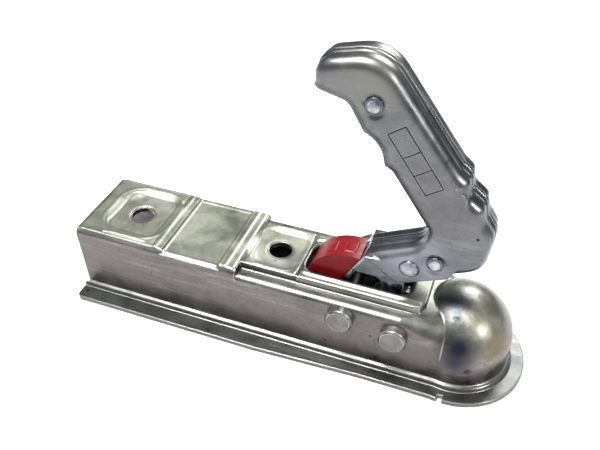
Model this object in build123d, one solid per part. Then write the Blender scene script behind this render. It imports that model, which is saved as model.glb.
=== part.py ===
from build123d import *
from math import atan2, cos, degrees, radians, sin, sqrt
import os

# Trailer coupling head for a 50 mm ball, handle raised.
# Millimetres. Origin at the centre of the ball socket, +X to the nose, +Z up.

# Ball and pressed sheet
ball_diameter = 50.0
ball_clearance = 0.8
sheet = 3.0
dome_step = 0.675
body_rear = -227.0
rear_rake = 2.0
top_height = 27.0
shoulder_drop = 4.0
flange_underside = -19.3
edge_radius = 4.0
nose_edge_radius = 20.0
nose_blend_start = -30.0
foot_radius = 2.6

# Edge flange
flange_reach = 12.4
flange_reach_front = 9.8
flange_taper_start = -110.0
flange_taper_end = -45.0
flange_nose_radius = 38.6
flange_corner_radius = 3.0
notch_place = -1.8
notch_width = 3.0
notch_depth = 3.0

# Embossed top
label_rear = -171.5
label_front = -134.0
label_depth = 2.2
plateau_rear = -124.5
plateau_front = -18.0
plateau_half_width = 20.5
plateau_corner = 9.0
plateau_draft = 1.6
hole_diameter = 13.5
rear_hole_place = -197.4
hole_spacing = 90.0
pad_depth = 1.6
pad_slope = 5.0
rear_pad_length = 30.5
rear_pad_width = 33.5
front_pad_length = 28.0
front_pad_width = 26.5
pad_round = 12.0
pad_square = 4.5

# Slot for the handle
slot_rear = -89.5
slot_front = -29.5
slot_half_width = 11.0
slot_corner = 6.0
slot_roll = 2.4
slot_collar = 3.5

# Cross bolts
front_bolt_x = -32.0
front_bolt_drop = 15.5
rear_bolt_x = -62.0
rear_bolt_drop = 11.5
bolt_diameter = 8.0
bolt_clearance = 0.1
head_diameter = 15.4
head_height = 5.5
head_chamfer = 1.2
washer_diameter = 16.0
washer_thickness = 1.6
nut_flats = 13.0
nut_height = 8.0
nut_collar_height = 2.0
bolt_overrun = 2.0
front_sleeve_diameter = 13.0
front_spacer_diameter = 14.0
running_gap = 0.06
seat_gap = 0.3

# Handle shells
handle_half_width = 12.0
handle_sheet = 2.4
handle_edge_radius = 2.8
seam_gap = 0.3
rivet_diameter = 6.0
rivet_head_diameter = 9.0
rivet_head_height = 1.1
dent_diameter = 13.0
dent_depth = 0.9
dent_margin = 0.4
dome_head_diameter = 11.0
dome_head_height = 2.6
grip_rivet_back = 26.0
grip_rivet_up = 125.0
heel_rivet_ahead = 13.0
heel_rivet_up = 41.5
pivot_rivet_ahead = 0.5
pivot_rivet_up = 35.0

# Clamp lever
lever_sheet = 3.0
lever_gap = 0.3
lever_boss_radius = 8.4
web_gate_up = 30.5
web_gate_length = 30.0

# Indicator
indicator_wall = 2.0
indicator_half_width = 8.6
indicator_radius = 24.6
indicator_back = 32.0
indicator_up = 5.8
indicator_low_up = 8.5

# Motion
closing_angle = 25.0

# Jaw
jaw_clearance = 0.4
jaw_thickness = 6.0
jaw_half_angle = 33.0
jaw_low = -15.4
jaw_high = 0.5
jaw_rivet_diameter = 5.0
jaw_rivet_head = 8.0
jaw_rivet_head_height = 1.2
jaw_rivet_places = [(-4.5, -15.0), (-12.0, -9.5)]
jaw_tongue = [
    ((8.0, -20.5), 0.0),
    ((8.0, -11.0), 0.0),
    ((-8.0, -2.5), 3.0),
    ((-17.0, -5.5), 4.0),
    ((-15.0, -14.5), 4.0),
    ((-5.0, -20.5), 3.0),
]

# Springs and release catch
main_spring_wire = 1.5
main_spring_turns = 4
main_spring_share = 0.6
catch_spring_wire = 1.0
catch_spring_turns = 2
catch_thickness = 4.0
catch_swing = 5.0
catch_gate_gap = 0.6
trigger_half_width = 7.0
trigger_sheet = 1.6
spring_facets = 16
spring_clearance = 0.7
spring_leg = 6.0
catch_spring_gap = 0.45
main_spring_turn = 0.0
catch_spring_turn = 20.0

# Sizes that follow
dome_inner = ball_diameter / 2 + ball_clearance
dome_outer = dome_inner + sheet
half_width = dome_outer - dome_step
body_width = 2 * half_width
front_bolt_z = top_height - front_bolt_drop
rear_bolt_z = top_height - rear_bolt_drop
grip_rivet_x = front_bolt_x - grip_rivet_back
grip_rivet_z = front_bolt_z + grip_rivet_up
heel_rivet_x = front_bolt_x + heel_rivet_ahead
heel_rivet_z = front_bolt_z + heel_rivet_up
pivot_rivet_x = front_bolt_x + pivot_rivet_ahead
pivot_rivet_z = front_bolt_z + pivot_rivet_up
indicator_centre_x = front_bolt_x - indicator_back
indicator_centre_z = front_bolt_z + indicator_up
indicator_low = front_bolt_z + indicator_low_up
web_gate_top = front_bolt_z + web_gate_up
jaw_rivet_centres = [(front_bolt_x + ahead, front_bolt_z + up) for ahead, up in jaw_rivet_places]
dome_seat = -sqrt(dome_outer**2 - half_width**2)
shoulder_height = top_height - shoulder_drop
front_hole_place = rear_hole_place + hole_spacing
lever_half_width = handle_half_width - handle_sheet - lever_gap
jaw_inner = ball_diameter / 2 + jaw_clearance
jaw_outer = jaw_inner + jaw_thickness
bolt_bore = bolt_diameter / 2 + bolt_clearance
inner_wall = half_width - sheet
spring_inner = front_sleeve_diameter / 2 + spring_clearance
spring_outer = spring_inner + main_spring_wire
below_align = (Align.CENTER, Align.CENTER, Align.MAX)


def side_face(points, radii):
    """Closed side outline with rounded corners, its places counted from the front bolt."""
    bolt = Pos(front_bolt_x, 0, front_bolt_z)
    return bolt * make_face(Plane.XZ * FilletPolyline(*points, radius=radii, close=True))


def side_plate(face, near, far):
    """Plate with a side outline, from one distance to another towards -Y."""
    return extrude(Pos(0, -near, 0) * face, amount=far - near, dir=(0, -1, 0))


def cross_cylinder(x, z, radius, near, far):
    """Cylinder across the body, from y = near to y = far."""
    middle = Pos(x, (near + far) / 2, z) * Rot(90, 0, 0)
    return middle * Cylinder(radius, abs(far - near))


def other_side(shape):
    """Mirror image on the far side of the head."""
    return mirror(shape, about=Plane.XZ)


def closed(shape):
    """Shape turned from the raised to the closed pose, about the front bolt."""
    pivot = Axis((front_bolt_x, 0, front_bolt_z), (0, -1, 0))
    return shape.rotate(pivot, closing_angle)


def opened(shape):
    """Shape turned from the closed to the raised pose, about the front bolt."""
    pivot = Axis((front_bolt_x, 0, front_bolt_z), (0, -1, 0))
    return shape.rotate(pivot, -closing_angle)


def wall_section(place, half, high, radius):
    """Cross section of the channel at one X, with rounded upper edges."""
    low = flange_underside - (half_width - half)
    corners = [(-half, low), (half, low), (half, high), (-half, high)]
    outline = FilletPolyline(*corners, radius=[0, 0, radius, radius], close=True)
    return make_face(Plane.YZ.offset(place) * outline)


def channel(inset):
    """Channel, nose blend and dome as one block, its faces moved in by the inset."""
    half = half_width - inset
    low_top = shoulder_height - inset
    high_top = top_height - inset
    round_edge = edge_radius - min(inset, edge_radius - 1)
    rear = extrude(wall_section(body_rear, half, high_top, round_edge), plateau_rear - body_rear)
    middle = extrude(wall_section(plateau_rear, half, low_top, round_edge), nose_blend_start - plateau_rear)
    blend = loft(
        [
            wall_section(nose_blend_start, half, low_top, round_edge),
            wall_section(dome_seat, half, low_top, nose_edge_radius - inset),
        ]
    )
    radius = dome_outer - inset
    depth = inset - flange_underside
    skirt = Pos(0, 0, -depth / 2) * Cylinder(radius, depth)
    dome = Sphere(radius, arc_size1=0, align=(Align.CENTER, Align.CENTER, Align.MIN))
    return rear + middle + blend + dome + skirt


def rounded_block(rear, front, half, low, high, corners, draft):
    """Raised field with rounded corners whose sides lean in towards its top."""
    length = front - rear
    base = Pos((rear + front) / 2, 0, low) * RectangleRounded(length, 2 * half, corners)
    inner = corners - draft
    upper = Pos((rear + front) / 2, 0, high) * RectangleRounded(
        length - 2 * draft, 2 * (half - draft), inner
    )
    return loft([base.face(), upper.face()])


def plateau(inset):
    """Raised field round the front bolt hole and the slot."""
    return rounded_block(
        plateau_rear - plateau_corner - inset,
        plateau_front - inset,
        plateau_half_width - inset,
        shoulder_height - 2 * sheet,
        top_height - inset,
        plateau_corner,
        plateau_draft,
    )


def label_recess(inset):
    """Shallow step across the whole top between the two bolt pads."""
    length = label_front - label_rear
    depth = label_depth + edge_radius
    floor_height = top_height - label_depth - inset
    place = Pos((label_rear + label_front) / 2, 0, floor_height + depth / 2)
    block = place * Box(length, body_width + 2, depth)
    return block


def pad_outline(place, length, width, grow, height):
    """Outline of a bolt pad, rounder at its rear end than at its front end."""
    rear = place - length / 2 - grow
    front = place + length / 2 + grow
    half = width / 2 + grow
    corners = [(rear, -half), (front, -half), (front, half), (rear, half)]
    radii = [pad_round + grow, pad_square + grow, pad_square + grow, pad_round + grow]
    return Pos(0, 0, height) * make_face(FilletPolyline(*corners, radius=radii, close=True))


def pad_recess(place, length, width, inset):
    """Dished seat round a bolt hole."""
    floor = pad_outline(place, length, width, 0, top_height - pad_depth - inset)
    rim = pad_outline(place, length, width, pad_slope, top_height + 0.01 - inset)
    return loft([floor, rim])


def slot_outline(grow, height):
    """Slot outline at one height."""
    length = slot_front - slot_rear + 2 * grow
    width = 2 * (slot_half_width + grow)
    place = Pos((slot_rear + slot_front) / 2, 0, height)
    return place * RectangleRounded(length, width, slot_corner + grow)


def flange():
    """Flat edge flange with its tapered sides and round nose."""
    rear_half = half_width + flange_reach
    front_half = half_width + flange_reach_front
    half_outline = [
        (body_rear, -rear_half),
        (flange_taper_start, -rear_half),
        (flange_taper_end, -front_half),
        (0, -front_half),
        (0, front_half),
        (flange_taper_end, front_half),
        (flange_taper_start, rear_half),
        (body_rear, rear_half),
    ]
    corner = flange_corner_radius
    radii = [corner, 0, 0, 0, 0, 0, 0, corner]
    plate = make_face(FilletPolyline(*half_outline, radius=radii, close=True))
    plate = plate + Circle(flange_nose_radius)
    notch = Rectangle(notch_width, 2 * notch_depth)
    for side in (-1, 1):
        edge = side * flange_nose_radius
        plate = plate - Pos(notch_place, edge, 0) * notch
    return extrude(Pos(0, 0, flange_underside) * plate, sheet)


def make_housing():
    """One pressed sheet: channel, embossed top, dome and edge flange."""
    pads = [
        (rear_hole_place, rear_pad_length, rear_pad_width),
        (front_hole_place, front_pad_length, front_pad_width),
    ]
    outer = channel(0) + plateau(0) - label_recess(0)
    inner = channel(sheet) + plateau(sheet) - label_recess(sheet)
    for place, length, width in pads:
        outer = outer - pad_recess(place, length, width, 0)
        inner = inner - pad_recess(place, length, width, sheet)
    collar_low = top_height - sheet - slot_collar
    collar = extrude(slot_outline(sheet, collar_low), slot_collar + sheet / 2)
    mouth = extrude(slot_outline(0, collar_low - 1), slot_collar + 2 * sheet)
    shell = outer + flange() + foot_bend() - inner + collar - mouth
    shell = shell - slot_flare()
    shell = shell - rear_cut()
    for place, length, width in pads:
        shell = shell - Pos(place, 0, top_height) * Cylinder(hole_diameter / 2, 4 * sheet)
    for x, z in ((front_bolt_x, front_bolt_z), (rear_bolt_x, rear_bolt_z)):
        shell = shell - cross_cylinder(x, z, bolt_bore, -body_width, body_width)
    return shell


def slot_flare():
    """Tool that rolls the slot's upper edge over."""
    low = top_height - slot_roll
    plate = extrude(slot_outline(2 * slot_roll, low), slot_roll)
    plate = plate - extrude(slot_outline(0, low), slot_roll)
    upper = plate.faces().sort_by(Axis.Z)[-1]
    plate = fillet(upper.inner_wires()[0].edges(), slot_roll - 0.01)
    return extrude(slot_outline(1.5 * slot_roll, low), 2 * slot_roll) - plate


def rear_cut():
    """Wedge that leans the rear end forward towards its foot."""
    foot = flange_underside + sheet
    outside = body_rear - 1
    corners = [
        (outside, foot),
        (body_rear + rear_rake, foot),
        (body_rear, top_height),
        (outside, top_height),
    ]
    wedge = Polyline(*corners, close=True)
    return extrude(Plane.XZ * make_face(wedge), body_width / 2 + 1, both=True)


def foot_bend():
    """Concave bend between the walls and the flange."""
    top = flange_underside + sheet
    half = half_width
    under = half - sheet / 2
    low = top - sheet / 2
    high = top + foot_radius
    outline = Polyline((half, high), (under, high), (under, low), (half + foot_radius, low))
    outline += Line((half + foot_radius, low), (half + foot_radius, top))
    outline += RadiusArc((half, high), (half + foot_radius, top), foot_radius)
    straight = extrude(Plane.YZ.offset(body_rear) * make_face(outline), -body_rear)
    nose_profile = Pos(dome_outer - half, 0) * make_face(outline)
    nose = revolve(Plane.XZ * nose_profile, Axis.Z, 360)
    return straight + other_side(straight) + nose


# Handle outline: places from the front bolt and rounding radii, clockwise from the hook's tip
handle_back = [
    ((-55.6, 128.1), 5.0),
    ((-56.0, 142.0), 9.0),
    ((-24.0, 149.8), 20.0),
    ((17.2, 97.3), 3.0),
    ((22.2, 93.3), 3.0),
    ((23.4, 86.1), 3.0),
    ((31.2, 80.1), 3.0),
    ((32.9, 72.9), 3.0),
    ((38.9, 64.5), 8.0),
    ((37.6, 42.3), 14.0),
]
handle_leg = [
    ((-4.6, 22.8), 3.0),
    ((-22.4, 34.5), 3.0),
    ((12.3, 54.0), 11.0),
]
grip_plain = [((-38.5, 123.7), 8.0)]
grip_scallops = [
    ((-14.6, 91.5), 6.0),
    ((-18.8, 93.8), 0.8),
    ((-21.0, 104.4), 16.0),
    ((-30.3, 109.9), 0.8),
    ((-38.5, 123.7), 8.0),
]
grip_open_zone = [
    (-54.0, 131.5),
    (-37.0, 129.5),
    (-25.0, 114.5),
    (-13.0, 98.0),
    (7.5, 67.5),
    (7.5, 62.0),
    (-2.0, 60.5),
    (-30.0, 86.5),
    (-48.0, 108.5),
    (-60.0, 124.5),
]
leg_open_zone = [
    (-24.5, 35.5),
    (-20.4, 36.4),
    (-2.5, 27.1),
    (24.0, 39.7),
    (30.0, 44.5),
    (40.0, 36.5),
    (12.0, 18.5),
    (-8.0, 13.5),
    (-28.0, 26.5),
]


def rounded_face(corners):
    """Face from a list of corner places and radii."""
    return side_face([place for place, _ in corners], [radius for _, radius in corners])


def make_handle_shell():
    """Near half of the handle: flat cheek with an edge bent in to the seam."""
    seam = seam_gap / 2
    bent_face = rounded_face(handle_back + handle_leg + grip_plain)
    block = side_plate(bent_face, seam, handle_half_width)
    near_face = block.faces().sort_by(Axis.Y)[0]
    block = fillet(near_face.outer_wire().edges(), handle_edge_radius)
    inner_face = handle_half_width - handle_sheet
    hollow = side_plate(offset(bent_face, -handle_sheet), seam - 1, inner_face)
    block = block - hollow
    cheek_face = rounded_face(handle_back + handle_leg + grip_scallops)
    cheek = side_plate(cheek_face, inner_face, handle_half_width)
    shell = block
    for zone in (grip_open_zone, leg_open_zone):
        area = side_face(zone, 0)
        prism = side_plate(area, seam - 1, handle_half_width + 1)
        shell = shell - prism + (cheek & prism)
    for x, z in ((grip_rivet_x, grip_rivet_z), (heel_rivet_x, heel_rivet_z)):
        shell = shell - rivet_dent(x, z)
        shell = shell - cross_cylinder(x, z, rivet_diameter / 2, -handle_half_width - 1, -inner_face + 1)
    x, z = pivot_rivet_x, pivot_rivet_z
    shell = shell - cross_cylinder(x, z, rivet_diameter / 2, -handle_half_width - 1, -inner_face + 1)
    return shell


def rivet_dent(x, z):
    """Shallow dish round a spacer rivet in the near cheek."""
    face = Plane((x, -handle_half_width, z), z_dir=(0, 1, 0))
    floor = rivet_head_diameter / 2 + dent_margin
    return loft([face * Circle(dent_diameter / 2), face.offset(dent_depth) * Circle(floor)])


def spacer_rivet(x, z, barrel_half):
    """Rivet with a thicker barrel between the cheeks and a flat head at each end."""
    inner = handle_half_width - handle_sheet
    floor = handle_half_width - dent_depth
    head = floor + rivet_head_height
    shank = cross_cylinder(x, z, rivet_diameter / 2, -floor, floor)
    barrel = cross_cylinder(x, z, rivet_head_diameter / 2, -barrel_half, barrel_half)
    near = cross_cylinder(x, z, rivet_head_diameter / 2, -head, -floor)
    near = chamfer(near.faces().sort_by(Axis.Y)[0].edges(), rivet_head_height / 2)
    return shank + barrel + near + other_side(near)


def dome_head(x, z, seat):
    """Domed rivet head on the near side."""
    radius = dome_head_diameter / 2
    ball = (radius**2 + dome_head_height**2) / (2 * dome_head_height)
    centre = seat + dome_head_height - ball
    cap = Pos(x, -centre, z) * Sphere(ball)
    return cap & cross_cylinder(x, z, radius, -seat - ball, -seat)


def make_pivot_rivet():
    """Domed rivet through the leg of the handle, which carries the release catch."""
    x, z = pivot_rivet_x, pivot_rivet_z
    seat = handle_half_width
    shank = cross_cylinder(x, z, rivet_diameter / 2, -seat, seat)
    head = dome_head(x, z, seat)
    return shank + head + other_side(head)


# Lever outline in the raised pose, from the front bolt
web_high = (-24.4, 33.3)
web_low = (-34.4, 15.3)
lever_outline = [
    (web_high, 1.0),
    ((-19.5, 32.6), 1.0),
    ((-2.0, 41.9), 5.0),
    ((18.0, 49.0), 5.0),
    ((21.0, 39.5), 5.0),
    ((-1.6, 27.1), 4.0),
    ((-1.0, 0.5), 2.0),
    ((-2.0, -9.5), 3.0),
    ((-7.0, -17.5), 5.0),
    ((-17.0, -13.5), 5.0),
    ((-20.5, -1.5), 6.0),
    ((-12.5, 8.5), 6.0),
    ((-13.5, 18.5), 4.0),
    ((-19.5, 23.7), 3.0),
    ((-29.2, 21.9), 1.0),
    ((-31.4, 14.1), 0.5),
    (web_low, 1.0),
]


def web_strip(thickness):
    """Side outline of the lever's web."""
    run_x = web_high[0] - web_low[0]
    run_z = web_high[1] - web_low[1]
    length = sqrt(run_x**2 + run_z**2)
    across = (thickness * run_z / length, -thickness * run_x / length)
    corners = [
        web_low,
        web_high,
        (web_high[0] + across[0], web_high[1] + across[1]),
        (web_low[0] + across[0], web_low[1] + across[1]),
    ]
    return side_face(corners, 0)


def make_clamp_lever():
    """Folded lever: two cheeks joined by a web at the rear."""
    cheek = rounded_face(lever_outline)
    inner = lever_half_width - lever_sheet
    lever = side_plate(cheek, inner, lever_half_width)
    lever = lever + cross_cylinder(front_bolt_x, front_bolt_z, lever_boss_radius, -lever_half_width, -inner)
    lever = lever + other_side(lever)
    lever = lever + side_plate(web_strip(lever_sheet), -inner - lever_sheet / 2, inner + lever_sheet / 2)
    gate_half = catch_thickness / 2 + catch_gate_gap
    gate_height = web_gate_top - indicator_low
    gate = Box(web_gate_length, 2 * gate_half, gate_height)
    gate = Pos(front_bolt_x + web_low[0], 0, indicator_low + gate_height / 2) * gate
    lever = lever - gate
    ring = Pos(0, 0, jaw_high + seat_gap) * Cylinder(jaw_outer + seat_gap, body_width, align=below_align)
    lever = lever - opened(ring)
    bore = front_sleeve_diameter / 2 + running_gap
    lever = lever - cross_cylinder(front_bolt_x, front_bolt_z, bore, -body_width, body_width)
    for x, z in ((pivot_rivet_x, pivot_rivet_z), (heel_rivet_x, heel_rivet_z)):
        lever = lever - cross_cylinder(x, z, rivet_diameter / 2, -body_width, body_width)
    for x, z in jaw_rivet_centres:
        hole = cross_cylinder(x, z, jaw_rivet_diameter / 2, -body_width, body_width)
        lever = lever - opened(hole)
    return lever


def make_indicator():
    """Red cap behind the web, round on top and hollow inside."""
    slope = degrees(atan2(web_high[1] - web_low[1], web_high[0] - web_low[0]))
    disc = Pos(indicator_centre_x, 0, indicator_centre_z) * Rot(90, 0, 0)
    cap = disc * Cylinder(indicator_radius, 2 * indicator_half_width)
    hollow = disc * Cylinder(indicator_radius - indicator_wall, 2 * (indicator_half_width - indicator_wall))
    cap = cap - hollow
    behind = Pos(front_bolt_x + web_low[0], 0, front_bolt_z + web_low[1]) * Rot(0, -slope, 0)
    block = Box(4 * indicator_radius, body_width, 2 * indicator_radius)
    keep = behind * Pos(0, 0, indicator_radius + seat_gap) * block
    cap = cap & keep
    return cap - Pos(indicator_centre_x, 0, indicator_low - indicator_radius) * block


def tube(x, z, outer, inner, near, far):
    """Tube across the body."""
    return cross_cylinder(x, z, outer, near, far) - cross_cylinder(x, z, inner, near - 1, far + 1)


def make_bolt(x, z):
    """Round-headed cross bolt, head on the near side."""
    end = half_width + washer_thickness + nut_height + bolt_overrun
    shank = cross_cylinder(x, z, bolt_diameter / 2, -half_width, end)
    shank = chamfer(shank.faces().sort_by(Axis.Y)[-1].edges(), bolt_overrun / 2)
    head = cross_cylinder(x, z, head_diameter / 2, -half_width - head_height, -half_width)
    head = chamfer(head.faces().sort_by(Axis.Y)[0].edges(), head_chamfer)
    return shank + head


def make_washer(x, z):
    """Flat washer on the far wall."""
    return tube(x, z, washer_diameter / 2, bolt_bore, half_width, half_width + washer_thickness)


def make_locknut(x, z):
    """Hexagon locknut with a round collar on the far side."""
    seat = half_width + washer_thickness
    hexagon_height = nut_height - nut_collar_height
    face = Plane((x, seat, z), z_dir=(0, 1, 0))
    nut = extrude(face * RegularPolygon(nut_flats / 2, 6, major_radius=False), hexagon_height)
    collar = cross_cylinder(x, z, nut_flats / 2 - 1, seat, seat + nut_height)
    return nut + collar - cross_cylinder(x, z, bolt_bore, seat - 1, seat + nut_height + 1)


def make_front_sleeve():
    """Pivot sleeve of the lever on the front bolt."""
    half = lever_half_width + seat_gap
    return tube(front_bolt_x, front_bolt_z, front_sleeve_diameter / 2, bolt_bore, -half, half)


def make_front_spacer():
    """Tube between the near wall and the pivot sleeve."""
    inner = lever_half_width + seat_gap
    return tube(front_bolt_x, front_bolt_z, front_spacer_diameter / 2, bolt_bore, -inner_wall, -inner)


def make_ball_jaw():
    """Clamping jaw with a hollow that fits the ball, and a tongue in the lever."""
    height = jaw_high - jaw_low
    ring = Pos(0, 0, jaw_low + height / 2) * Cylinder(jaw_outer, height)
    ring = ring - Sphere(jaw_inner)
    reach = 2 * jaw_outer
    spread = reach * sin(radians(jaw_half_angle)) / cos(radians(jaw_half_angle))
    wedge = Polyline((0, 0), (-reach, spread), (-reach, -spread), close=True)
    ring = ring & extrude(Pos(0, 0, jaw_low - 1) * make_face(wedge), height + 2)
    half = lever_half_width - lever_sheet - seat_gap
    tongue = side_plate(rounded_face(jaw_tongue), -half, half)
    tongue = tongue - cross_cylinder(front_bolt_x, front_bolt_z, spring_outer + seat_gap, -half - 1, half + 1)
    tongue = tongue - Sphere(jaw_inner)
    jaw = ring + tongue
    for x, z in jaw_rivet_centres:
        jaw = jaw - cross_cylinder(x, z, jaw_rivet_diameter / 2, -half - 1, half + 1)
    return opened(jaw)


def make_jaw_rivet(place):
    """Rivet with a flat head on each cheek of the lever."""
    x, z = place
    seat = lever_half_width
    shank = cross_cylinder(x, z, jaw_rivet_diameter / 2, -seat, seat)
    head = cross_cylinder(x, z, jaw_rivet_head / 2, -seat - jaw_rivet_head_height, -seat)
    head = chamfer(head.faces().sort_by(Axis.Y)[0].edges(), jaw_rivet_head_height / 2)
    return opened(shank + head + other_side(head))


def torsion_spring(x, z, radius, wire, turns, start, end, leg_turn):
    """Coil of square wire round a cross axis, with a straight leg at each end."""
    pitch = (end - start - wire) / turns
    coil = Helix(pitch, pitch * turns, radius)
    steps = turns * spring_facets
    places = [coil @ (step / steps) for step in range(steps + 1)]
    first = places[0] - (coil % 0) * spring_leg
    last = places[-1] + (coil % 1) * spring_leg
    path = Polyline(first, *places, last)
    section = Plane(path @ 0, x_dir=(0, 0, 1), z_dir=path % 0) * Rectangle(wire, wire)
    spring = sweep(section, path, transition=Transition.RIGHT)
    return Pos(x, start + wire / 2, z) * Rot(-90, 0, 0) * Rot(0, 0, leg_turn) * spring


# Catch outline in its engaged pose, from the front bolt, with the lever in the raised pose
catch_outline = [
    ((-5.0, 39.9), 4.0),
    ((-25.0, 25.7), 4.0),
    ((-34.4, 23.3), 1.0),
    ((-34.4, 8.7), 1.0),
    ((-30.6, 8.7), 0.5),
    ((-29.9, 11.4), 0.5),
    ((-31.3, 12.1), 0.5),
    ((-31.3, 21.3), 1.5),
    ((-22.0, 22.1), 4.0),
    ((-4.0, 29.5), 4.0),
    ((7.0, 29.5), 4.0),
    ((19.5, 39.5), 5.0),
    ((20.5, 54.5), 5.0),
    ((14.0, 68.5), 6.0),
    ((-8.0, 98.5), 3.0),
    ((-15.4, 95.3), 2.0),
    ((5.0, 69.1), 4.0),
    ((10.6, 60.5), 4.0),
    ((10.6, 50.5), 4.0),
    ((5.0, 42.5), 4.0),
]
trigger_start = (4.0, 71.5)
trigger_end = (-14.6, 95.1)


def make_release_catch():
    """Finger lever with a hook for the rear bolt and a wide trigger in the grip."""
    half = catch_thickness / 2
    catch = side_plate(rounded_face(catch_outline), -half, half)
    run_x = trigger_end[0] - trigger_start[0]
    run_z = trigger_end[1] - trigger_start[1]
    length = sqrt(run_x**2 + run_z**2)
    slope = degrees(atan2(run_z, run_x))
    middle_x = front_bolt_x + (trigger_start[0] + trigger_end[0]) / 2
    middle_z = front_bolt_z + (trigger_start[1] + trigger_end[1]) / 2
    trigger = Box(length, 2 * trigger_half_width, trigger_sheet)
    trigger = fillet(trigger.edges().filter_by(Axis.Z), trigger_half_width / 2)
    catch = catch + Pos(middle_x, 0, middle_z) * Rot(0, -slope, 0) * trigger
    axis = Axis((pivot_rivet_x, 0, pivot_rivet_z), (0, -1, 0))
    clearance = rivet_head_diameter / 2 + 2 * seat_gap
    post = cross_cylinder(heel_rivet_x, heel_rivet_z, clearance, -half - 1, half + 1)
    for share in (0, 0.5, 1):
        catch = catch - post.rotate(axis, share * catch_swing)
    bore = rivet_diameter / 2 + running_gap
    catch = catch - cross_cylinder(pivot_rivet_x, pivot_rivet_z, bore, -half - 1, half + 1)
    return catch.rotate(axis, -catch_swing)


if __name__ == "__main__":
    os.makedirs("parts", exist_ok=True)
    near_shell = make_handle_shell()
    spacer_half = handle_half_width - handle_sheet - seat_gap
    main_spring_half = main_spring_share * (lever_half_width - lever_sheet)
    pieces = {
        "housing": make_housing(),
        "handle_shell_near": near_shell,
        "handle_shell_far": other_side(near_shell),
        "grip_rivet": spacer_rivet(grip_rivet_x, grip_rivet_z, spacer_half),
        "heel_rivet": spacer_rivet(heel_rivet_x, heel_rivet_z, lever_half_width - lever_sheet - seat_gap),
        "pivot_rivet": make_pivot_rivet(),
        "clamp_lever": make_clamp_lever(),
        "indicator": make_indicator(),
        "release_catch": make_release_catch(),
        "catch_spring": torsion_spring(
            pivot_rivet_x,
            pivot_rivet_z,
            rivet_diameter / 2 + seat_gap + catch_spring_wire / 2,
            catch_spring_wire,
            catch_spring_turns,
            catch_thickness / 2 + catch_spring_gap,
            lever_half_width - lever_sheet - catch_spring_gap,
            catch_spring_turn,
        ),
        "ball_jaw": make_ball_jaw(),
        "jaw_rivet_front": make_jaw_rivet(jaw_rivet_centres[0]),
        "jaw_rivet_rear": make_jaw_rivet(jaw_rivet_centres[1]),
        "main_spring": torsion_spring(
            front_bolt_x,
            front_bolt_z,
            spring_inner + main_spring_wire / 2,
            main_spring_wire,
            main_spring_turns,
            -main_spring_half,
            main_spring_half,
            main_spring_turn,
        ),
        "front_bolt": make_bolt(front_bolt_x, front_bolt_z),
        "front_sleeve": make_front_sleeve(),
        "front_spacer_near": make_front_spacer(),
        "front_spacer_far": other_side(make_front_spacer()),
        "front_washer": make_washer(front_bolt_x, front_bolt_z),
        "front_locknut": make_locknut(front_bolt_x, front_bolt_z),
        "rear_bolt": make_bolt(rear_bolt_x, rear_bolt_z),
        "rear_washer": make_washer(rear_bolt_x, rear_bolt_z),
        "rear_locknut": make_locknut(rear_bolt_x, rear_bolt_z),
    }
    for name, piece in pieces.items():
        export_step(piece, "parts/" + name + ".step")
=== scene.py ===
import logging
import math
from dataclasses import dataclass, replace
from enum import Enum
from typing import Sequence

import bmesh
import bpy
from mathutils import Matrix, Vector
from mathutils.bvhtree import BVHTree
from mathutils.geometry import delaunay_2d_cdt


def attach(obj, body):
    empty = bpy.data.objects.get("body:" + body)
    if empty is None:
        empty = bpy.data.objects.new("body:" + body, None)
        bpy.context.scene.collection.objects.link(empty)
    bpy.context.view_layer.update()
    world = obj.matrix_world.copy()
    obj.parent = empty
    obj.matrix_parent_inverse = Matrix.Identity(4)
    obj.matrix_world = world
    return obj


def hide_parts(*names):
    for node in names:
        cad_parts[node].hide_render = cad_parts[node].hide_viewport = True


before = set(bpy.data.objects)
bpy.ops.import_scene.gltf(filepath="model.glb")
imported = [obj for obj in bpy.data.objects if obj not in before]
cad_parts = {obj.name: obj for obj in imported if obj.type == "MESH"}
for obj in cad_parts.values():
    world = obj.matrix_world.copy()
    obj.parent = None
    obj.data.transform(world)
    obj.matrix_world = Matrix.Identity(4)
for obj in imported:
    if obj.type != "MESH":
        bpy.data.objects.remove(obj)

LOG = logging.getLogger("coupling_head")
MM = 0.001
TINY = 1e-9
Colour = tuple[float, float, float]
Point = tuple[float, float, float]
Spot = tuple[float, float]
Corner = tuple[Spot, float]
Line = tuple[Vector, Vector]
Heights = list[list[float | None]]
Socket = bpy.types.NodeSocket
FRONT_BOLT: Spot = (-32.0, 11.5)


class Axis(Enum):
    """Directions of the head: along it, across it and up."""

    ALONG = 0
    ACROSS = 1
    UP = 2


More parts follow.
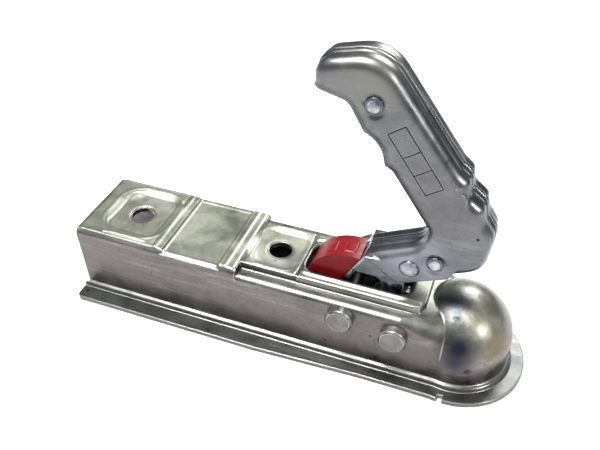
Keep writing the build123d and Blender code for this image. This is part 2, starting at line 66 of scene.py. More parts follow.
class NodeSketch:
    """A material's node tree, drawn with short calls."""

    def __init__(self, name: str) -> None:
        """Starts a new material.

        Args:
            name: the material's name.
        """
        self.material = bpy.data.materials.new(name)
        self.material.use_nodes = True
        self.tree = self.material.node_tree
        self.shader = next(n for n in self.tree.nodes if n.type == "BSDF_PRINCIPLED")
        coordinates = self.tree.nodes.new("ShaderNodeTexCoord")
        self.here = coordinates.outputs["Object"]
        self.normal = coordinates.outputs["Normal"]

    def _feed(self, socket: Socket, value: object) -> None:
        """Links a socket to another, or sets its value.

        Args:
            socket: the input socket.
            value: an output socket, a number or a colour.
        """
        if isinstance(value, Socket):
            self.tree.links.new(value, socket)
        elif isinstance(value, (tuple, list)) and len(value) == 3 and socket.type == "RGBA":
            socket.default_value = (*value, 1.0)
        else:
            socket.default_value = value

    def _node(self, kind: str, values: dict[str | int, object], operation: str = "") -> bpy.types.Node:
        """Adds a node and feeds it.

        Args:
            kind: the node's type.
            values: sockets, numbers or colours by input.
            operation: what it does with them, where it has a choice.

        Returns:
            The node.
        """
        node = self.tree.nodes.new(kind)
        if operation:
            node.operation = operation
        for key, value in values.items():
            self._feed(node.inputs[key], value)
        return node

    def place(self, scale: Point, turn: Point) -> Socket:
        """Place on the object in metres, stretched along each axis and turned by degrees."""
        values = {"Vector": self.here, "Scale": scale, "Rotation": [math.radians(angle) for angle in turn]}
        return self._node("ShaderNodeMapping", values).outputs["Vector"]

    def noise(
        self, scale: float, detail: float, rough: float, vector: Socket | None = None, twist: float = 0.0
    ) -> Socket:
        """Cloudy variation.

        Args:
            scale: cells in a metre.
            detail: octaves of detail.
            rough: strength of the fine octaves.
            vector: where it is read, else the plain place.
            twist: distortion.

        Returns:
            A factor socket.
        """
        values = {"Vector": vector or self.here, "Scale": scale, "Detail": detail}
        values |= {"Roughness": rough, "Distortion": twist}
        return self._node("ShaderNodeTexNoise", values).outputs["Fac"]

    def cells(self, scale: float) -> Socket:
        """Distance to the nearest of many scattered points, by their number in a metre."""
        return self._node("ShaderNodeTexVoronoi", {"Vector": self.here, "Scale": scale}).outputs["Distance"]

    def span(self, value: Socket, low: float, high: float, to_low: float, to_high: float) -> Socket:
        """Maps the span from low to high onto another, held at both ends."""
        values = {"Value": value, "From Min": low, "From Max": high, "To Min": to_low, "To Max": to_high}
        return self._node("ShaderNodeMapRange", values).outputs["Result"]

    def rise(self, value: Socket, low: float, high: float, share: float = 1.0) -> Socket:
        """Share that rises from nothing at a low value to its whole at a high one."""
        return self.span(value, low, high, 0.0, share)

    def fall(self, value: Socket, low: float, high: float, share: float = 1.0) -> Socket:
        """Share that falls from its whole at a low value to nothing at a high one."""
        return self.span(value, low, high, share, 0.0)

    def product(self, first: object, second: object) -> Socket:
        """Two values multiplied."""
        return self._node("ShaderNodeMath", {0: first, 1: second}, "MULTIPLY").outputs[0]

    def total(self, first: object, second: object) -> Socket:
        """Two values added."""
        return self._node("ShaderNodeMath", {0: first, 1: second}, "ADD").outputs[0]

    def blend(self, factor: object, first: object, second: object) -> Socket:
        """Colour between two.

        Args:
            factor: share of the second.
            first: the first colour.
            second: the second colour.

        Returns:
            The colour socket.
        """
        node = self.tree.nodes.new("ShaderNodeMix")
        node.data_type = "RGBA"
        for index, value in ((0, factor), (6, first), (7, second)):
            self._feed(node.inputs[index], value)
        return node.outputs[2]

    def facing_up(self, low: float, high: float) -> Socket:
        """Share of a surface that looks up, from none at the low cosine to all at the high one."""
        match = self._node("ShaderNodeVectorMath", {0: self.normal, 1: (0.0, 0.0, 1.0)}, "DOT_PRODUCT")
        return self.rise(match.outputs["Value"], low, high)

    def spot(self, centre: Point, radius: float, edge: float) -> Socket:
        """Mask round a point, whole inside and nothing outside.

        Args:
            centre: the point in millimetres.
            radius: its radius in millimetres.
            edge: width of its soft edge in millimetres.

        Returns:
            A factor socket.
        """
        values = {0: self.here, 1: [value * MM for value in centre]}
        away = self._node("ShaderNodeVectorMath", values, "DISTANCE").outputs["Value"]
        return self.fall(away, (radius - edge) * MM, (radius + edge) * MM)

    def band(self, axis: Axis, low: float, high: float, edge: float) -> Socket:
        """Mask of a slab across one axis.

        Args:
            axis: the axis.
            low: its lower face in millimetres.
            high: its upper face in millimetres.
            edge: width of its soft edges in millimetres.

        Returns:
            A factor socket.
        """
        value = self._node("ShaderNodeSeparateXYZ", {0: self.here}).outputs[axis.value]
        above = self.rise(value, (low - edge) * MM, (low + edge) * MM)
        below = self.fall(value, (high - edge) * MM, (high + edge) * MM)
        return self.product(above, below)

    def rounding(self, radius: float) -> tuple[Socket, Socket]:
        """Softened edges.

        Args:
            radius: how far an edge is rounded, in millimetres.

        Returns:
            The softened normal, and a mask of the edges.
        """
        bevel = self._node("ShaderNodeBevel", {"Radius": radius * MM})
        bevel.samples = 6
        soft = bevel.outputs["Normal"]
        plain = self.tree.nodes.new("ShaderNodeNewGeometry").outputs["Normal"]
        match = self._node("ShaderNodeVectorMath", {0: soft, 1: plain}, "DOT_PRODUCT").outputs["Value"]
        return soft, self.fall(match, 0.93, 0.995)

    def pointiness(self) -> Socket:
        """How sharply the mesh bends outwards, 0.5 where it is flat."""
        return self.tree.nodes.new("ShaderNodeNewGeometry").outputs["Pointiness"]

    def relief(self, height: Socket, strength: float, depth: float, base: Socket | None = None) -> Socket:
        """Fine surface relief.

        Args:
            height: the height socket.
            strength: how strongly it shows.
            depth: its depth in millimetres.
            base: relief that it is laid over.

        Returns:
            The normal socket.
        """
        values = {"Height": height, "Strength": strength, "Distance": depth * MM}
        if base is not None:
            values["Normal"] = base
        return self._node("ShaderNodeBump", values).outputs["Normal"]

    def fill(self, **sockets: object) -> None:
        """Feeds the shader's sockets, each named with _ for a space."""
        for name, value in sockets.items():
            self._feed(self.shader.inputs[name.replace("_", " ")], value)


@dataclass(frozen=True)
class Mark:
    """A speck, smudge, stain, painted shade or painted highlight at one place, in millimetres."""

    centre: Point
    radius: float
    colour: Colour
    strength: float
    edge: float
    solid: bool = False
    patch_cells: float = 600.0

    def share(self, sketch: NodeSketch) -> Socket:
        """How much of the mark shows at each place.

        Args:
            sketch: the material being made.

        Returns:
            A factor socket, broken into patches unless the mark is solid.
        """
        mask = sketch.spot(self.centre, self.radius, self.edge)
        if not self.solid:
            patchy = sketch.noise(self.patch_cells / self.radius, 3.0, 0.6)
            mask = sketch.product(mask, sketch.rise(patchy, 0.35, 0.6))
        return sketch.product(mask, self.strength)


def specks(*places: tuple[Point, float, float]) -> list[Mark]:
    """Small dark specks, each given by its centre, radius and edge."""
    return [Mark(centre, radius, (0.012, 0.008, 0.006), 1.0, edge, True) for centre, radius, edge in places]


@dataclass(frozen=True)
class ZincFinish:
    """Zinc plate over pressed steel, with cloudy passivation and handling marks, and painted light: lit
    tops, shaded sides, painted edge highlights, a painted dark reflection along a spine, painted highlights
    on ridges and painted shade in hollows.
    """

    name: str
    # Painted light: upper is the lit colour of faces that look up, side the shaded colour of the others.
    upper: Colour
    side: Colour
    # dark is the colour of cloudy patches and mottle, and also of painted shade in hollows.
    dark: Colour
    # bright is the colour of streaks, and also of painted edge and ridge highlights.
    bright: Colour
    roughness: float = 0.32
    cloud: float = 45.0
    streak_turn: Point = (0.0, 0.0, 0.0)
    streak_scale: Point = (12.0, 160.0, 160.0)
    marks: tuple[Mark, ...] = ()
    rust: float = 0.0
    rust_colour: Colour = (0.07, 0.04, 0.025)
    patches: float = 0.55
    streak: float = 0.45
    mottle: float = 0.35
    mark_roughness: float = 0.12
    rounding: float = 1.2
    # rim: strength of the painted edge highlight, which also stands for edge wear.
    rim: float = 0.7
    # Painted highlight on ridges and painted shade in hollows, with their strengths.
    relief_light: bool = False
    ridge_highlight: float = 0.75
    hollow_shade: float = 0.7
    foot: Colour | None = None
    foot_low: float = -40.0
    foot_top: float = -14.0
    # Painted dark reflection in a band along the middle, where the handle's spine is.
    spine_reflection: Colour | None = None
    spine_half: float = 8.6
    spine_share: float = 0.8
    metal: float = 0.92

    def rust_share(self, sketch: NodeSketch) -> Socket:
        """Small dots of rust, gathered in a few places.

        Args:
            sketch: the material being made.

        Returns:
            A factor socket.
        """
        dots = sketch.fall(sketch.cells(95.0), 0.03, 0.06)
        some = sketch.rise(sketch.noise(25.0, 2.0, 0.5), 0.56, 0.62)
        return sketch.product(sketch.product(dots, some), self.rust)

    def make(self) -> bpy.types.Material:
        """Builds the node material.

        Returns:
            The material.
        """
        sketch = NodeSketch(self.name)
        # Painted light: faces that look up get the lit colour, the others the shaded one.
        base = sketch.blend(sketch.facing_up(0.25, 0.8), self.side, self.upper)
        if self.foot:
            base = sketch.blend(sketch.band(Axis.UP, self.foot_low, self.foot_top, 1.0), base, self.foot)
        # Painted dark reflection along the spine.
        if self.spine_reflection:
            middle = sketch.band(Axis.ACROSS, -self.spine_half, self.spine_half, 0.5)
            base = sketch.blend(sketch.product(middle, self.spine_share), base, self.spine_reflection)
        cloud = sketch.noise(self.cloud, 4.0, 0.6, twist=0.6)
        base = sketch.blend(sketch.fall(cloud, 0.35, 0.62, self.patches), base, self.dark)
        streaks = sketch.noise(1.0, 4.0, 0.65, sketch.place(self.streak_scale, self.streak_turn))
        base = sketch.blend(sketch.rise(streaks, 0.52, 0.72, self.streak), base, self.bright)
        mottle = sketch.noise(420.0, 2.0, 0.6)
        base = sketch.blend(sketch.rise(mottle, 0.5, 0.75, self.mottle), base, self.dark)
        rough = sketch.span(cloud, 0.3, 0.7, self.roughness - 0.08, self.roughness + 0.14)
        for mark in self.marks:
            share = mark.share(sketch)
            base = sketch.blend(share, base, mark.colour)
            rough = sketch.total(rough, sketch.product(share, self.mark_roughness))
        if self.rust:
            base = sketch.blend(self.rust_share(sketch), base, self.rust_colour)
        # Painted highlight along the edges, also standing for edge wear.
        soft, edge = sketch.rounding(self.rounding)
        base = sketch.blend(sketch.product(edge, self.rim), base, self.bright)
        # Painted highlight on ridges and painted shade in hollows.
        if self.relief_light:
            bend = sketch.pointiness()
            base = sketch.blend(sketch.rise(bend, 0.505, 0.56, self.ridge_highlight), base, self.bright)
            base = sketch.blend(sketch.fall(bend, 0.44, 0.495, self.hollow_shade), base, self.dark)
        grain = sketch.relief(sketch.noise(2200.0, 2.0, 0.5), 0.12, 0.05, soft)
        wave = sketch.relief(sketch.noise(70.0, 2.0, 0.5), 0.25, 0.35, grain)
        sketch.fill(Base_Color=base, Roughness=rough, Metallic=self.metal, Normal=wave)
        return sketch.material


def dimmed(colour: Colour, share: float) -> Colour:
    """A colour darkened to a share of itself."""
    return tuple(share * part for part in colour)


@dataclass(frozen=True)
class PlasticFinish:
    """Moulded plastic with a slight orange-peel and dust."""

    name: str
    colour: Colour
    dust: Colour
    roughness: float = 0.32
    gloss: float = 0.28

    def make(self) -> bpy.types.Material:
        """Builds the node material.

        Returns:
            The material.
        """
        sketch = NodeSketch(self.name)
        dusty = sketch.rise(sketch.noise(160.0, 4.0, 0.7), 0.5, 0.75, 0.45)
        base = sketch.blend(dusty, self.colour, self.dust)
        deep = sketch.rise(sketch.noise(60.0, 2.0, 0.5), 0.4, 0.6, 0.3)
        base = sketch.blend(deep, base, dimmed(self.colour, 0.5))
        cloud = sketch.noise(300.0, 3.0, 0.6)
        rough = sketch.span(cloud, 0.3, 0.7, self.roughness - 0.06, self.roughness + 0.16)
        peel = sketch.relief(sketch.noise(900.0, 2.0, 0.5), 0.2, 0.06)
        sketch.fill(Base_Color=base, Roughness=rough, Specular_IOR_Level=self.gloss, Normal=peel)
        return sketch.material


@dataclass(frozen=True)
class FloorFinish:
    """Pale matt studio floor."""

    name: str
    colour: Colour

    def make(self) -> bpy.types.Material:
        """Builds the node material.

        Returns:
            The material.
        """
        sketch = NodeSketch(self.name)
        faint = sketch.rise(sketch.noise(3.0, 2.0, 0.5), 0.3, 0.7)
        base = sketch.blend(faint, self.colour, dimmed(self.colour, 0.98))
        sketch.fill(Base_Color=base, Roughness=0.9)
        return sketch.material


def eased(value: float) -> float:
    """A value held between 0 and 1 and smoothed at both ends."""
    held = min(max(value, 0.0), 1.0)
    return held * held * (3 - 2 * held)


def rounded_outline(corners: Sequence[Corner], pitch: float, arc_steps: int = 8) -> list[Vector]:
    """Closed outline with rounded corners, as evenly placed points.

    Args:
        corners: corner places and radii in millimetres.
        pitch: distance between points in millimetres.
        arc_steps: parts of each corner's arc before the points are placed.

    Returns:
        The points.
    """
    rough: list[Vector] = []
    for index, (place, radius) in enumerate(corners):
        corner = Vector(place)
        back = (Vector(corners[index - 1][0]) - corner).normalized()
        ahead = (Vector(corners[(index + 1) % len(corners)][0]) - corner).normalized()
        half = back.angle(ahead) / 2
        run = radius / math.tan(half)
        centre = corner + (back + ahead).normalized() * (radius / math.sin(half))
        first, last = corner + back * run, corner + ahead * run
        for step in range(arc_steps + 1):
            rough.append(centre + (first.lerp(last, step / arc_steps) - centre).normalized() * radius)
    count = len(rough)
    lengths = [(rough[(i + 1) % count] - rough[i]).length for i in range(count)]
    total = sum(lengths)
    number = int(total / pitch)
    points: list[Vector] = []
    walked, index = 0.0, 0
    for step in range(number):
        target = total * step / number
        while walked + lengths[index] < target:
            walked += lengths[index]
            index += 1
        share = (target - walked) / max(lengths[index], TINY)
        points.append(rough[index].lerp(rough[(index + 1) % count], share))
    return points


def turned_in(points: Sequence[Vector], depth: float) -> list[Vector]:
    """Outline moved inwards in small smoothed steps, so that tight corners don't fold.

    Args:
        points: a clockwise outline.
        depth: how far it moves, in millimetres.

    Returns:
        As many points, moved.
    """
    stride, light_steps, light, full = 0.4, 3, 0.08, 0.2
    steps = max(1, math.ceil(depth / stride))
    moved = [point.copy() for point in points]
    count = len(moved)
    for step in range(steps):
        ease = light if step < light_steps else full
        pushed = []
        for index, point in enumerate(moved):
            along = moved[(index + 1) % count] - moved[index - 1]
            inward = Vector((along.y, -along.x)).normalized() if along.length > TINY else Vector((0.0, 0.0))
            pushed.append(point + inward * (depth / steps))
        moved = [
            pushed[i] * (1 - 2 * ease) + (pushed[i - 1] + pushed[(i + 1) % count]) * ease
            for i in range(count)
        ]
    return moved


def inside(place: Vector, outline: Sequence[Vector]) -> bool:
    """Whether a place lies within a closed outline.

    Args:
        place: the place.
        outline: the outline.

    Returns:
        True inside it.
    """
    crossings = 0
    for index, second in enumerate(outline):
        first = outline[index - 1]
        if (first.y > place.y) != (second.y > place.y):
            reach = first.x + (place.y - first.y) * (second.x - first.x) / (second.y - first.y)
            crossings += reach > place.x
    return crossings % 2 == 1


def spot_key(spot: Vector) -> Spot:
    """A place rounded to a thousandth of a millimetre, by which it is found again."""
    return round(spot.x, 3), round(spot.y, 3)


def in_line(place: Vector, lines: Sequence[Line], reach: float) -> bool:
    """Whether a place lies within reach of one of some straight lines.

    Args:
        place: the place in millimetres.
        lines: start and end of each line.
        reach: half width of a line in millimetres.

    Returns:
        True in a line.
    """
    for first, last in lines:
        along = (last - first).normalized()
        run = (place - first).dot(along)
        if -reach < run < (last - first).length + reach and abs((place - first).cross(along)) < reach:
            return True
    return False


def from_bolt(spot: Vector, distance: float) -> Vector:
    """Metres on the head of a place from the front bolt, at a distance across from the middle."""
    return Vector((FRONT_BOLT[0] + spot.x, distance, FRONT_BOLT[1] + spot.y)) * MM


def join_rings(form: bmesh.types.BMesh, rings: Sequence[Sequence[bmesh.types.BMVert]]) -> None:
    """Joins each ring of corners to the next with a band of faces.

    Args:
        form: the mesh being made.
        rings: closed rings, all of the same length.
    """
    for lower, upper in zip(rings, rings[1:]):
        for index in range(len(lower)):
            after = (index + 1) % len(lower)
            form.faces.new((lower[index], lower[after], upper[after], upper[index]))


def finished(name: str, form: bmesh.types.BMesh) -> bpy.types.Mesh:
    """Turns a form into a mesh.

    Args:
        name: the mesh's name.
        form: the form, which is freed.

    Returns:
        The mesh.
    """
    mesh = bpy.data.meshes.new(name)
    form.to_mesh(mesh)
    form.free()
    return mesh


def add_piece(
    name: str, mesh: bpy.types.Mesh, material: bpy.types.Material, body: str, sharp: float = 40.0
) -> bpy.types.Object:
    """Adds a finished mesh to the head.

    Args:
        name: the piece's name.
        mesh: its mesh, in metres.
        material: its finish.
        body: the body that it rides on.
        sharp: angle in degrees above which an edge stays sharp.

    Returns:
        The object.
    """
    piece = bpy.data.objects.new(name, mesh)
    bpy.context.scene.collection.objects.link(piece)
    mesh.materials.append(material)
    mesh.shade_smooth()
    mesh.set_sharp_from_angle(angle=math.radians(sharp))
    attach(piece, body)
    LOG.info("%s built, %d faces", name, len(mesh.polygons))
    return piece


def dress(nodes: Sequence[str], material: bpy.types.Material) -> None:
    """Gives nodes of the head their finish, over all their faces.

    Args:
        nodes: the nodes' names.
        material: the finish.
    """
    for node in nodes:
        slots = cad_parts[node].data.materials
        slots.clear()
        slots.append(material)


@dataclass(frozen=True)
class Crease:
    """A straight raised or sunk line in the pressed top, in millimetres."""

    start: Spot
    end: Spot
    height: float
    width: float

    def rise(self, spot: Vector) -> float:
        """How far the line lifts a place.

        Args:
            spot: the place, in millimetres.

        Returns:
            The lift in millimetres.
        """
        first, last = Vector(self.start), Vector(self.end)
        along = last - first
        share = min(max((spot - first).dot(along) / along.length_squared, 0.0), 1.0)
        away = (spot - first.lerp(last, share)).length
        return self.height * math.exp(-((away / self.width) ** 2))


@dataclass(frozen=True)
class Lip:
    """A raised or sunk rounded rectangle in the pressed top, in millimetres."""

    centre: Spot
    half: Spot
    corner: float
    height: float
    width: float

    def rise(self, spot: Vector) -> float:
        """How far the lip lifts a place.

        Args:
            spot: the place, in millimetres.

        Returns:
            The lift in millimetres.
        """
        across = [abs(spot[axis] - self.centre[axis]) - self.half[axis] + self.corner for axis in range(2)]
        away = math.hypot(*(max(part, 0.0) for part in across)) + min(max(across), 0.0) - self.corner
        return self.height * math.exp(-((away / self.width) ** 2))


@dataclass
class PressedTop:
    """A finely pressed skin that lies on one part of the housing's top, in millimetres."""

    name: str
    low: Spot
    high: Spot
    hole: Spot
    lines: tuple[Crease | Lip, ...]
    hole_radius: float = 7.1
    pitch: float = 0.5
    lift: float = 0.4
    fade: float = 1.8
    bury: float = 0.2
    lowest: float = 0.05
    ray_start: float = 60.0

    def heights(self) -> Heights:
        """Heights of the housing's top under the skin's grid.

        Returns:
            Rows of heights in millimetres, None over a hole.
        """
        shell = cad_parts["housing"]
        corners = [shell.matrix_world @ corner.co for corner in shell.data.vertices]
        tree = BVHTree.FromPolygons(corners, [face.vertices for face in shell.data.polygons])
        rows = []
        for y in self.steps(Axis.ACROSS):
            row = []
            for x in self.steps(Axis.ALONG):
                hit = tree.ray_cast(Vector((x, y, self.ray_start)) * MM, Vector((0.0, 0.0, -1.0)))[0]
                near_hole = math.hypot(x - self.hole[0], y - self.hole[1]) < self.hole_radius
                row.append(None if hit is None or near_hole else hit.z / MM)
            rows.append(row)
        return rows

    def steps(self, axis: Axis) -> list[float]:
        """Places of the grid's lines along an axis, in millimetres."""
        low, high = self.low[axis.value], self.high[axis.value]
        return [low + step * self.pitch for step in range(round((high - low) / self.pitch) + 1)]

    def softened(self, rows: Heights, reach: int, highest: bool) -> Heights:
        """Averages or raises each height over its neighbours.

        Args:
            rows: the heights.
            reach: neighbours on each side.
            highest: take the highest neighbour rather than the average.

        Returns:
            The new heights.
        """
        made = []
        for j, row in enumerate(rows):
            line = []
            for i, height in enumerate(row):
                near = [
                    value
                    for other in rows[max(j - reach, 0) : j + reach + 1]
                    for value in other[max(i - reach, 0) : i + reach + 1]
                    if value is not None
                ]
                line.append(None if height is None else (max(near) if highest else sum(near) / len(near)))
            made.append(line)
        return made

    def build(self, material: bpy.types.Material) -> None:
        """Builds the skin.

        Args:
            material: its finish.
        """
        plain = self.heights()
        raised = self.softened(plain, 1, True)
        soft = self.softened(self.softened(raised, 2, False), 1, False)
        verts: dict[tuple[int, int], int] = {}
        places = []
        for j, y in enumerate(self.steps(Axis.ACROSS)):
            for i, x in enumerate(self.steps(Axis.ALONG)):
                if plain[j][i] is None:
                    continue
                spot = Vector((x, y))
                border = min(x - self.low[0], self.high[0] - x, y - self.low[1], self.high[1] - y)
                border = min(border, (spot - Vector(self.hole)).length - self.hole_radius)
                share = eased(border / self.fade)
                rise = max(self.lift + sum(line.rise(spot) for line in self.lines), self.lowest)
                top = max(soft[j][i], raised[j][i]) + rise
                verts[(i, j)] = len(places)
                places.append(Vector((x, y, (1 - share) * (plain[j][i] - self.bury) + share * top)) * MM)
        faces = []
        for i, j in verts:
            corners = [verts.get(key) for key in ((i, j), (i + 1, j), (i + 1, j + 1), (i, j + 1))]
            if None not in corners:
                faces.append(corners)
        mesh = bpy.data.meshes.new(self.name)
        mesh.from_pydata(places, [], faces)
        add_piece(self.name, mesh, material, "housing", 60.0)


@dataclass
class PressedBody:
    """The pressed housing with its cross bolts."""

    housing: str = "housing"
    bolts: tuple[str, ...] = (
        "front_bolt", "rear_bolt", "front_washer", "rear_washer", "front_locknut", "rear_locknut"
    )
    hidden: tuple[str, ...] = ("front_sleeve", "front_spacer_near", "front_spacer_far")
    top_speck: Point = (-53.0, -18.2, 28.3)
    pad_middle: Spot = (-197.4, 0.0)
    front_hole: Spot = (-107.4, 0.0)
    no_hole: Spot = (0.0, 100.0)

    def shell_finish(self) -> ZincFinish:
        """Zinc of the housing, with its stains and specks, painted shade on the dome's left and a painted
        highlight near its top.

        Returns:
            The finish.
        """
        return ZincFinish(
            "zinc_shell",
            upper=(0.265, 0.28, 0.235),
            side=(0.15, 0.134, 0.13),
            dark=(0.065, 0.06, 0.055),
            bright=(0.42, 0.415, 0.41),
            marks=(
                # Painted shade on the dome's left, near side.
                Mark((2.0, -25.8, 12.5), 8.0, (0.010, 0.012, 0.03), 0.95, 5.5, True),
                Mark((1.5, -28.0, 3.0), 6.0, (0.015, 0.016, 0.03), 0.75, 5.0, True),
                Mark((-5.6, -8.4, 27.0), 7.0, (0.012, 0.015, 0.035), 0.85, 5.0, True),
                Mark((-3.0, -16.0, 23.5), 4.5, (0.015, 0.018, 0.035), 0.9, 3.0),
                Mark((8.0, 2.0, 27.0), 8.0, (0.07, 0.065, 0.05), 0.8, 5.0),
                Mark((22.0, -14.0, 10.0), 9.0, (0.14, 0.115, 0.06), 0.7, 6.0),
                # Painted highlight near the top of the dome.
                Mark((4.0, -13.9, 24.9), 3.5, (0.5, 0.48, 0.42), 0.6, 2.0),
                Mark((14.0, -15.0, 20.5), 7.0, (0.22, 0.18, 0.09), 0.7, 4.0),
                Mark((9.2, -26.5, -1.4), 2.0, (0.03, 0.015, 0.012), 0.9, 0.8),
                *specks(
                    (self.top_speck, 0.8, 0.3),
                    ((-0.7, -28.1, -6.7), 0.8, 0.3),
                    ((-44.6, -28.1, 6.3), 0.6, 0.2),
                    ((-69.9, -28.1, -7.4), 0.6, 0.2),
                    ((-223.1, -34.7, -16.5), 0.9, 0.3),
                ),
            ),
            rust=0.8,
            streak=0.3,
            foot=(0.12, 0.128, 0.12),
        )

    def rear_top(self) -> PressedTop:
        """Skin over the rear pad and the bare panel, with their lips and ridges.

        Returns:
            The skin.
        """
        return PressedTop(
            "rear_top",
            low=(-226.0, -27.5),
            high=(-124.8, 27.5),
            hole=self.pad_middle,
            lines=(
                Lip(self.pad_middle, (21.0, 22.3), 15.0, 0.5, 1.1),
                Lip(self.pad_middle, (15.6, 17.1), 5.0, -0.35, 0.6),
                Crease((-225.0, -25.6), (-173.5, -25.6), 0.35, 1.2),
                Crease((-225.0, 25.6), (-173.5, 25.6), 0.35, 1.2),
                Crease((-210.0, -24.4), (-183.0, -24.4), -0.75, 0.5),
                Crease((-210.0, -23.2), (-183.0, -23.2), 0.35, 0.6),
                Crease((-175.2, -25.0), (-175.2, 25.0), 0.55, 1.2),
                Crease((-178.0, -23.0), (-178.0, 23.0), -0.3, 0.9),
                Crease((-169.5, -25.2), (-135.5, -25.2), 0.6, 1.0),
                Crease((-169.5, 25.2), (-135.5, 25.2), 0.5, 1.0),
                Crease((-131.2, -25.0), (-131.2, 25.0), 0.5, 1.2),
            ),
        )

    def front_top(self) -> PressedTop:
        """Skin over the front pad, with its lips.

        Returns:
            The skin.
        """
        return PressedTop(
            "front_top",
            low=(-123.2, -19.4),
            high=(-91.3, 19.4),
            hole=self.front_hole,
            lift=0.2,
            lines=(
                Lip((-107.9, 0.0), (14.6, 17.4), 9.0, 0.35, 0.8),
                Lip(self.front_hole, (14.2, 13.4), 4.5, -0.35, 0.6),
            ),
        )

    def slot_strip(self, name: str, outer: float, inner: float) -> PressedTop:
        """Skin along one side of the slot.

        Args:
            name: the piece's name.
            outer: its outer edge across, in millimetres.
            inner: its inner edge across, in millimetres.

        Returns:
            The skin.
        """
        rim = Lip((-59.5, 0.0), (33.0, 14.6), 8.0, 1.0, 1.2)
        low, high = (-91.0, min(outer, inner)), (-20.5, max(outer, inner))
        return PressedTop(name, low, high, hole=self.no_hole, lift=0.2, lines=(rim,))

    def dress(self) -> None:
        """Gives the housing and its bolts their finishes."""
        shell = self.shell_finish()
        dress((self.housing,), shell.make())
        skin = replace(
            shell,
            name="zinc_top",
            upper=(0.37, 0.39, 0.32),
            dark=(0.18, 0.185, 0.155),
            bright=(0.45, 0.455, 0.43),
            roughness=0.4,
            marks=tuple(specks((self.top_speck, 0.9, 0.3))),
            rounding=0.35,
            relief_light=True,
            foot=None,
        )
        top = skin.make()
        near_strip = self.slot_strip("near_strip", -19.6, -12.7)
        far_strip = self.slot_strip("far_strip", 19.6, 12.7)
        for part in (self.rear_top(), self.front_top(), near_strip, far_strip):
            part.build(top)
        bolt = ZincFinish(
            "zinc_bolt",
            upper=(0.36, 0.36, 0.34),
            side=(0.17, 0.168, 0.155),
            dark=(0.07, 0.068, 0.06),
            bright=(0.6, 0.6, 0.58),
            roughness=0.3,
            cloud=140.0,
            rounding=0.7,
            # Painted shade: the rear bolt's shank inside the housing is painted near black.
            marks=(Mark((-62.0, 0.0, 15.5), 22.0, (0.02, 0.02, 0.022), 1.0, 2.0, True),),
        )
        dress(self.bolts, bolt.make())
        # Painted shade: the sleeve and spacers down in the slot are painted near black.
        slot_shade = (0.03, 0.03, 0.035)
        black, grey = (0.012, 0.012, 0.015), (0.06, 0.06, 0.065)
        dress(self.hidden, ZincFinish("slot_shade_steel", slot_shade, slot_shade, black, grey, 0.5).make())


